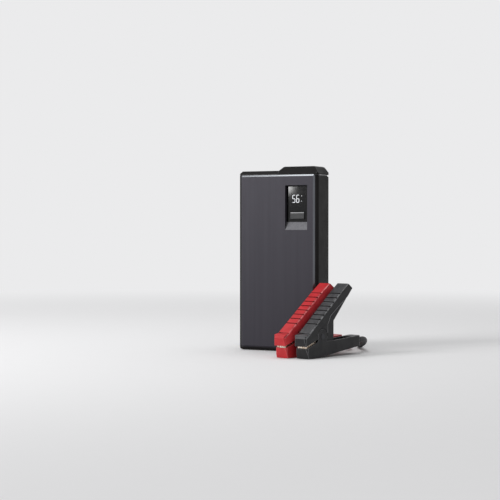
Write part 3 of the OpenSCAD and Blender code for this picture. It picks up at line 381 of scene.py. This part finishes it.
# The bevel of the shells' rim is painted pale on the right side: a painted highlight
PALE_RIM = 1
RIM_BEVEL = 1 * MM
for name in ("front_shell", "rear_shell"):
    shell = nodes[name].data
    shell.materials.append(rim_highlight)
    rim_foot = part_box(name)[1][2] - RIM_BEVEL
    for face in shell.polygons:
        if face.normal.x > 0.3 and face.normal.z > 0.3 and face.center.z > rim_foot:
            face.material_index = PALE_RIM


def soften(name, width_mm, least_angle, edge):
    """Breaks the moulded edges of a solid and gives them their own finish."""
    solid = nodes[name]
    solid.data.materials.append(edge)
    weld = solid.modifiers.new("joined_faces", "WELD")
    weld.merge_threshold = 0.002 * MM
    bevel = solid.modifiers.new("broken_edges", "BEVEL")
    bevel.width = width_mm * MM
    bevel.segments = 2
    bevel.limit_method = "ANGLE"
    bevel.angle_limit = math.radians(least_angle)
    bevel.use_clamp_overlap = False
    bevel.material = len(solid.data.materials) - 1


# How wide the broken edges are, in mm, and the least angle, in degrees, of an edge that is broken
PACK_EDGES = {"front_shell": 0.3, "rear_shell": 0.3, "top_cap": 0.35, "port_cover": 0.22,
              "power_button": 0.45}
ARM_EDGE, BASE_EDGE = 0.22, 0.2
PACK_ANGLE, CLAMP_ANGLE = 30, 25
# Broken edges carry painted highlights, and along the handles' grips painted shade
for name, width in PACK_EDGES.items():
    soften(name, width, PACK_ANGLE, edge_highlight_housing)
for shade, finish in CLAMP_FINISH.items():
    soften(shade + "_clamp_arm", ARM_EDGE, CLAMP_ANGLE, finish["arm_edge"])
    soften(shade + "_clamp_base", BASE_EDGE, CLAMP_ANGLE, finish["base_edge"])


# ---------- the clamps' handles ----------

# Where the tip of each clamp's nose stands, in mm, and how far the clamp is turned to the right
CLAMPS = {"red": (Vector((32.4, -70.5, 0)), math.radians(17.5)),
          "black": (Vector((52.2, -70, 0)), math.radians(15))}


def clamp_ways(shade):
    """The way from a clamp's nose to its tail, and the way to its right."""
    turn = CLAMPS[shade][1]
    tailward = Vector((math.sin(turn), math.cos(turn), 0))
    return tailward, Vector((tailward.y, -tailward.x, 0))


def on_clamp(shade, right, back, up):
    """A point in mm: right of the clamp's middle, back from its nose, up from the floor."""
    tailward, across = clamp_ways(shade)
    return CLAMPS[shade][0] + right * across + back * tailward + up * UP


# The long bevels of a handle's back carry a painted highlight and its grooves painted shade; the
# black ribs are grey from palm wear and painted light, and the red flanks are painted light.
# In mm, the back starts this far back and up from the nose, the grooves end this far up it, and
# their floors and walls lie this far under it
BACK_FOOT = (0.9, 21.8)
BACK_SLOPE = math.radians(38.2)
GROOVES_END = 55.5
GROOVE_TOP, GROOVE_FLOOR = 0.2, 1
LONG_BEVEL, GROOVE, FLANK, RIBS = 2, 3, 4, 5
for shade, finish in CLAMP_FINISH.items():
    arm = nodes[shade + "_clamp_arm"].data
    for part in ("long_bevel", "groove", "flank", "ribs"):
        arm.materials.append(finish[part])
    tailward, across = clamp_ways(shade)
    uphill = math.cos(BACK_SLOPE) * tailward + math.sin(BACK_SLOPE) * UP
    outward = math.cos(BACK_SLOPE) * UP - math.sin(BACK_SLOPE) * tailward
    foot = on_clamp(shade, 0, *BACK_FOOT) * MM
    for face in arm.polygons:
        sunk = (foot - face.center).dot(outward) / MM
        up_back = (face.center - foot).dot(uphill) / MM
        sideways, facing_out = face.normal.dot(across), face.normal.dot(outward)
        if abs(sideways) > 0.5 and facing_out > 0.5:
            face.material_index = LONG_BEVEL
        elif (GROOVE_TOP < sunk < GROOVE_FLOOR and up_back < GROOVES_END
              and abs(sideways) < 0.1):
            face.material_index = GROOVE
        elif sideways > 0.9:
            face.material_index = FLANK
        elif facing_out > 0.9:
            face.material_index = RIBS


def piece(name, points, faces, finish, slot, body="pack"):
    """A closed mesh piece, its points in mm, with its finish; it rides on a body."""
    mesh = bpy.data.meshes.new(name)
    mesh.from_pydata([Vector(point) * MM for point in points], [], faces)
    skin = bmesh.new()
    skin.from_mesh(mesh)
    bmesh.ops.recalc_face_normals(skin, faces=skin.faces[:])
    skin.to_mesh(mesh)
    skin.free()
    mesh.materials.append(finish)
    made = put(name, mesh)
    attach(made, body)
    return made


def slab(outline, front, back):
    """Points and faces of a flat slab, drawn as (x, z), between two depths."""
    n = len(outline)
    points = [(x, y, z) for y in (front, back) for x, z in outline]
    faces = [tuple(range(n)), tuple(range(2 * n - 1, n - 1, -1))]
    return points, faces + [(k, k + n, (k + 1) % n + n, (k + 1) % n) for k in range(n)]


# The edge of the sunk panel in each flank has a painted highlight: a line through these points,
# given as (back, up) in mm, and as wide as this step
PANEL_EDGE = [(26.6, 21.5), (26.6, 29.0), (30.8, 36.6), (50.8, 50.0)]
LINE_STEP = (-0.3, 0.2)
FLANK_OUT = 6.7
LINE_PROUD, LINE_SUNK = 0.05, 0.1
panel_line = PANEL_EDGE + [(back + LINE_STEP[0], up + LINE_STEP[1])
                           for back, up in reversed(PANEL_EDGE)]
for shade, finish in CLAMP_FINISH.items():
    for side, name in ((1, "right"), (-1, "left")):
        points, faces = slab(panel_line, side * (FLANK_OUT + LINE_PROUD),
                             side * (FLANK_OUT - LINE_SUNK))
        piece(f"{shade}_panel_edge_{name}",
              [on_clamp(shade, right, back, up) for back, right, up in points], faces,
              finish["panel_edge"], shade + "_nylon", shade + "_handle")


# ---------- the display's lit digits ----------

# Two seven-segment digits, 7.2 mm tall and a little slanted, and the two dots of a per cent sign
LENS_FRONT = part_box("display_lens")[0][1] / MM
DIGIT_H, DIGIT_W, STROKE, GAP = 7.2, 3.0, 0.46, 0.08
DIGIT_FOOT, TENS_LEFT, ONES_LEFT = 138.1, 14.1, 18.15
LEAN, LEAN_ABOUT = 0.05, 141.8
DOT_W, DOT_H = 0.3, 0.42
DOTS = ((23.4, 144.4), (23.4, 139.5))
LIT_PROUD, LIT_SUNK = 0.03, 0.02
# Each segment's two ends, in parts of the digit's width and height
SEGMENTS = {"top": ((0, 1), (1, 1)), "upper_left": ((0, 0.5), (0, 1)),
            "upper_right": ((1, 0.5), (1, 1)), "middle": ((0, 0.5), (1, 0.5)),
            "lower_left": ((0, 0), (0, 0.5)), "lower_right": ((1, 0), (1, 0.5)),
            "foot": ((0, 0), (1, 0))}
FIVE = ("top", "upper_left", "middle", "lower_right", "foot")
SIX = FIVE + ("lower_left",)


def bar(a, b):
    """The six corners of a segment from a to b."""
    way = (b - a).normalized()
    side = Vector((-way[1], way[0])) * STROKE / 2
    tip = way * STROKE / 2
    a, b = a + way * GAP, b - way * GAP
    return [a, a + tip + side, b - tip + side, b, b - tip - side, a + tip - side]


def lit(name, outlines):
    """Outlines in mm on the lens as one piece of thin lit slabs."""
    points, faces = [], []
    for outline in outlines:
        leaned = [(x + LEAN * (z - LEAN_ABOUT), z) for x, z in outline]
        slab_points, slab_faces = slab(leaned, LENS_FRONT - LIT_PROUD, LENS_FRONT + LIT_SUNK)
        faces += [tuple(i + len(points) for i in face) for face in slab_faces]
        points += slab_points
    piece(name, points, faces, segment_lit, "display_glass")


def digit(name, left, parts):
    """One digit made of the named segments, from its left edge."""
    corner = Vector((left + STROKE / 2, DIGIT_FOOT + STROKE / 2))
    width, height = DIGIT_W - STROKE, DIGIT_H - STROKE
    ends = [[corner + Vector((u * width, v * height)) for u, v in SEGMENTS[part]]
            for part in parts]
    lit(name, [bar(a, b) for a, b in ends])


digit("digit_tens", TENS_LEFT, FIVE)
digit("digit_ones", ONES_LEFT, SIX)
lit("per_cent_dots", [[(x - DOT_W, z), (x, z - DOT_H), (x + DOT_W, z), (x, z + DOT_H)]
                      for x, z in DOTS])


# ---------- painted shade and painted highlights ---

def oblong(left, foot, right, top):
    """The outline of an upright rectangle."""
    return [(left, foot), (right, foot), (right, top), (left, top)]


# Painted shade in borders along the top and the right of the display's face
WINDOW_LEFT, WINDOW_FOOT, WINDOW_RIGHT, WINDOW_TOP = 8.35, 120.5, 30.75, 154.2
TOP_BORDER, RIGHT_BORDER = 1.2, 0.7
SHADE_PROUD = 0.02
border_foot = WINDOW_TOP - TOP_BORDER
for name, outline in (
        ("face_border_top", oblong(WINDOW_LEFT, border_foot, WINDOW_RIGHT, WINDOW_TOP)),
        ("face_border_right",
         oblong(WINDOW_RIGHT - RIGHT_BORDER, WINDOW_FOOT, WINDOW_RIGHT, border_foot))):
    piece(name, *slab(outline, LENS_FRONT - SHADE_PROUD, LENS_FRONT + SHADE_PROUD), window_edge_shade,
          "smoked_acrylic")

# A painted highlight along the upper edge of the button, which stands proud of the lens
BUTTON_PROUD = 1.2
BUTTON_FRONT = LENS_FRONT - BUTTON_PROUD
HIGHLIGHT_LINE = oblong(12.9, 128.5, 26.2, 128.93)
HIGHLIGHT_PROUD, HIGHLIGHT_SUNK = 0.08, 0.1
piece("button_painted_highlight",
      *slab(HIGHLIGHT_LINE, BUTTON_FRONT - HIGHLIGHT_PROUD, BUTTON_FRONT + HIGHLIGHT_SUNK), button_highlight,
      "button_grey", "button")

# A lip under the cover's right side closes the groove over the shell's rim; it carries the rim's
# painted highlight
LIP = [(40.1, 163.97), (40.72, 163.97), (40.72, 163.33)]
LIP_FRONT, LIP_BACK = -9.5, 8.4
piece("cover_lip", *slab(LIP, LIP_FRONT, LIP_BACK), rim_highlight, "housing_black", "cover")


# ---------- strands and turned pieces ----------

def strand(name, points, radius, kind, finish, body="pack"):
    """A round strand through points in mm: POLY for a wire, BEZIER for a supple lead."""
    line = bpy.data.curves.new(name, "CURVE")
    line.dimensions = "3D"
    line.bevel_depth = radius * MM
    line.use_fill_caps = True
    line.materials.append(finish)
    spline = line.splines.new(kind)
    if kind == "POLY":
        line.bevel_resolution = 3
        spline.points.add(len(points) - 1)
        for knot, point in zip(spline.points, points):
            knot.co = (*(point * MM), 1)
    else:
        line.bevel_resolution = 6
        spline.resolution_u = 6
        spline.bezier_points.add(len(points) - 1)
        for knot, point in zip(spline.bezier_points, points):
            knot.co = point * MM
            knot.handle_left_type = knot.handle_right_type = "AUTO"
    made = put(name, line)
    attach(made, body)
    return made


def turned(name, profile, start, way, finish, slot, steps=20):
    """A turned piece: profile pairs are (distance along way, radius), in mm."""
    side = way.cross(UP).normalized()
    up = side.cross(way)
    angles = [2 * math.pi * k / steps for k in range(steps)]
    points = [start + run * way + radius * (math.cos(a) * side + math.sin(a) * up)
              for run, radius in profile for a in angles]
    faces = [(i * steps + k, (i + 1) * steps + k,
              (i + 1) * steps + (k + 1) % steps, i * steps + (k + 1) % steps)
             for i in range(len(profile) - 1) for k in range(steps)]
    last = (len(profile) - 1) * steps
    faces += [tuple(range(steps)), tuple(range(last + steps - 1, last - 1, -1))]
    made = piece(name, points, faces, finish, slot)
    for face in made.data.polygons:
        face.use_smooth = len(face.vertices) == 4
    return made


# ---------- clamp springs ----------

# Each spring is wound in two pieces: its coil and lower leg stay, its upper leg goes with the
# handle. Points are (right, back, up) on the clamp, in mm
PIVOT = Vector((0, 19.4, 18.7))
WIRE_R, COIL_R, COIL_PITCH, COIL_TURNS, TURN_STEPS = 0.5, 2.9, 1.6, 3, 20
COIL_START_DEGREES = 40
LOWER_LEG_END = Vector((2.4, 31.4, 4.67))
UPPER_LEG_END = Vector((-2.4, 28.4, 40.13))
# The upper leg shares its last points with the coil, so that the two stay together at a squeeze
SHARED = 4
coil = []
for k in range(TURN_STEPS * COIL_TURNS + 1):
    angle = math.radians(COIL_START_DEGREES - 360 * k / TURN_STEPS)
    coil.append(PIVOT + Vector((COIL_PITCH * (k / TURN_STEPS - COIL_TURNS / 2),
                                COIL_R * math.cos(angle), COIL_R * math.sin(angle))))
for shade in CLAMPS:
    for part, points, body in (("coil", coil + [LOWER_LEG_END], "pack"),
                               ("leg", [UPPER_LEG_END] + coil[:SHARED], shade + "_handle")):
        wound = strand(f"{shade}_spring_{part}", [on_clamp(shade, *point) for point in points],
                       WIRE_R, "POLY", steel_zinc, body)
        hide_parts(shade + "_clamp_spring")


# ---------- leads ----------

# Both leads leave their clamp's tail level, sink to the floor, run round and enter the plug
LEAD_R = 2.6
TAIL_BACK, TAIL_UP = 80.0, 12.0
PLUG_BACK = Vector((-53, 57.5, 4.5))
PLUG_TURN = math.radians(10)
PLUG_HALF_PITCH = 5.5
LAY = 2.7
# Each lead's side of the plug, its length in metres, and its route in mm
ROUTES = {
    "red": (1, 0.203, [
        (57, 15.5, 11.6), (55.5, 25, 9.8), (52, 34.5, 7.4), (47.5, 43.5, 5), (43, 52.5, 3.4),
        (38.5, 61.5, LAY), (34, 70.5, LAY), (28.5, 79.5, LAY), (21.5, 88, LAY), (13, 95.5, LAY),
        (3, 101.5, LAY), (-8, 105, LAY), (-20, 105, LAY), (-31.5, 101.5, LAY),
        (-41.5, 94.5, LAY), (-48.5, 85, LAY), (-51.5, 74.5, LAY), (-50.5, 67.5, 3.4)]),
    "black": (-1, 0.236, [
        (73.5, 17, 11.6), (71, 26.5, 9.6), (66.5, 35.5, 7), (61, 44, 4.6), (56, 53, 3),
        (51.5, 62.5, LAY), (47, 72, LAY), (41.5, 81.5, LAY), (35.5, 90.5, LAY), (28, 98.5, LAY),
        (18.5, 105, LAY), (7.5, 110, LAY), (-4, 113, LAY), (-16.5, 113.5, LAY),
        (-28.5, 111, LAY), (-39.5, 106, LAY), (-49.5, 98, LAY), (-57.5, 88, LAY),
        (-61, 76.5, 3.2)]),
}
# The strain relief, along the lead: a plain sleeve, then ribs, each a little smaller than the last
RELIEF_START, RIBS_START, RIB_COUNT, RIB_PITCH = -12.8, -5, 4, 1.25
RIB_LAND, RIB_SLOPE, GROOVE_RUN = 0.8, 0.1, 0.3
RIB_R, RIB_TAPER, GROOVE_R, MOUTH_R = 2.95, 0.02, 2.66, 2.7
relief = [(RELIEF_START, RIB_R)]
for k in range(RIB_COUNT):
    run, radius = RIBS_START + RIB_PITCH * k, RIB_R - RIB_TAPER * k
    sunk = run + RIB_LAND + RIB_SLOPE
    relief += [(run, radius), (run + RIB_LAND, radius), (sunk, GROOVE_R),
               (sunk + GROOVE_RUN, GROOVE_R)]
relief.append((0, MOUTH_R))

plug_side = Vector((math.cos(PLUG_TURN), math.sin(PLUG_TURN), 0))
for shade, (side, length, route) in ROUTES.items():
    start = on_clamp(shade, 0, TAIL_BACK, TAIL_UP)
    end = PLUG_BACK + side * PLUG_HALF_PITCH * plug_side
    silicone, slot = CLAMP_FINISH[shade]["lead"], shade + "_silicone"
    jacket = strand(shade + "_lead_jacket", [start] + [Vector(p) for p in route] + [end],
                    LEAD_R, "BEZIER", silicone)
    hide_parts(shade + "_lead")
    boot = turned(shade + "_strain_relief", relief, start, clamp_ways(shade)[0], silicone, slot)
    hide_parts(shade + "_lead_boot")


# ---------- light and stage ----------

BACKDROP = linear("#ebebec")

# Light from all round at under half strength; whatever is seen or mirrored is the backdrop
world = bpy.data.worlds.new("studio")
bpy.context.scene.world = world
world.use_nodes = True
sky = world.node_tree.nodes["Background"]
sky.inputs["Color"].default_value = linear("#ffffff")
sky.inputs["Strength"].default_value = 0.45
backdrop = add(world, "Background", in_Color=BACKDROP, in_Strength=1.0)
path = add(world, "LightPath")
seen = add(world, "Math", [(0, path.outputs["Is Camera Ray"]),
                           (1, path.outputs["Is Transmission Ray"])], operation="MAXIMUM")
seen_or_mirrored = add(world, "Math", [(0, seen.outputs[0]), (1, path.outputs["Is Glossy Ray"])],
                       operation="MAXIMUM")
mixed = add(world, "MixShader", [(0, seen_or_mirrored.outputs[0]), (1, sky.outputs[0]),
                                 (2, backdrop.outputs[0])])
world.node_tree.links.new(mixed.outputs[0],
                          world.node_tree.nodes["World Output"].inputs["Surface"])

# Each lamp: where it is, what it faces, its width and height in metres, and its watts
LAMPS = {
    "key_box": ((-0.756, -1.0, 0.667), (-0.756, 0, 0.667), (0.61, 0.98), 17),
    "glint_box": ((-0.506, -1.001, 0.232), (-0.506, 0, 0.232), (0.11, 0.11), 0.6),
    "edge_strip": ((1.15, -0.7, 0.35), (0.02, 0, 0.08), (0.12, 0.7), 0.2),
    "top_box": ((-0.11, 0.1, 1.3), (-0.11, 0.1, 0), (0.9, 0.9), 6),
}
for name, (place, aim, size, watts) in LAMPS.items():
    light = bpy.data.lights.new(name, "AREA")
    light.shape = "RECTANGLE"
    light.size, light.size_y = size
    light.energy = watts
    lamp = put(name, light)
    lamp.location = place
    lamp.rotation_euler = (Vector(aim) - Vector(place)).to_track_quat("-Z", "Y").to_euler()

# Painted floor, matt and pale; it fades into the backdrop's colour away from the object
FADE_START, FADE_END = 0.3, 1.3
FLOOR_HALF, FLOOR_DROP = 6.0, 0.0002
ground = surface("pale_studio_floor", "#e4e4e5", 0.75, Specular_IOR_Level=0.1)
mottle(ground, "Roughness", 20, 0.7, 0.8)
place = add(ground, "TexCoord")
away = add(ground, "VectorMath", [(0, place.outputs["Object"])], operation="LENGTH")
fade = add(ground, "MapRange", [("Value", away.outputs["Value"])],
           interpolation_type="SMOOTHSTEP", in_From_Min=FADE_START, in_From_Max=FADE_END)
glow = add(ground, "Emission", in_Color=BACKDROP, in_Strength=1.0)
rays = add(ground, "LightPath")
looked_at = add(ground, "Math", [(0, rays.outputs["Is Camera Ray"]),
                                 (1, rays.outputs["Is Glossy Ray"])], operation="MAXIMUM")
amount = add(ground, "Math", [(0, fade.outputs[0]), (1, looked_at.outputs[0])],
             operation="MULTIPLY")
paint = ground.node_tree.nodes["Principled BSDF"]
blend = add(ground, "MixShader", [(0, amount.outputs[0]), (1, paint.outputs[0]),
                                  (2, glow.outputs[0])])
ground.node_tree.links.new(blend.outputs[0],
                           ground.node_tree.nodes["Material Output"].inputs["Surface"])

floor_mesh = bpy.data.meshes.new("studio_floor")
floor_mesh.from_pydata([(-FLOOR_HALF, -FLOOR_HALF, 0), (FLOOR_HALF, -FLOOR_HALF, 0),
                        (FLOOR_HALF, FLOOR_HALF, 0), (-FLOOR_HALF, FLOOR_HALF, 0)], [],
                       [(0, 1, 2, 3)])
floor_mesh.materials.append(ground)
floor = put("studio_floor", floor_mesh)
floor.location.z = -FLOOR_DROP
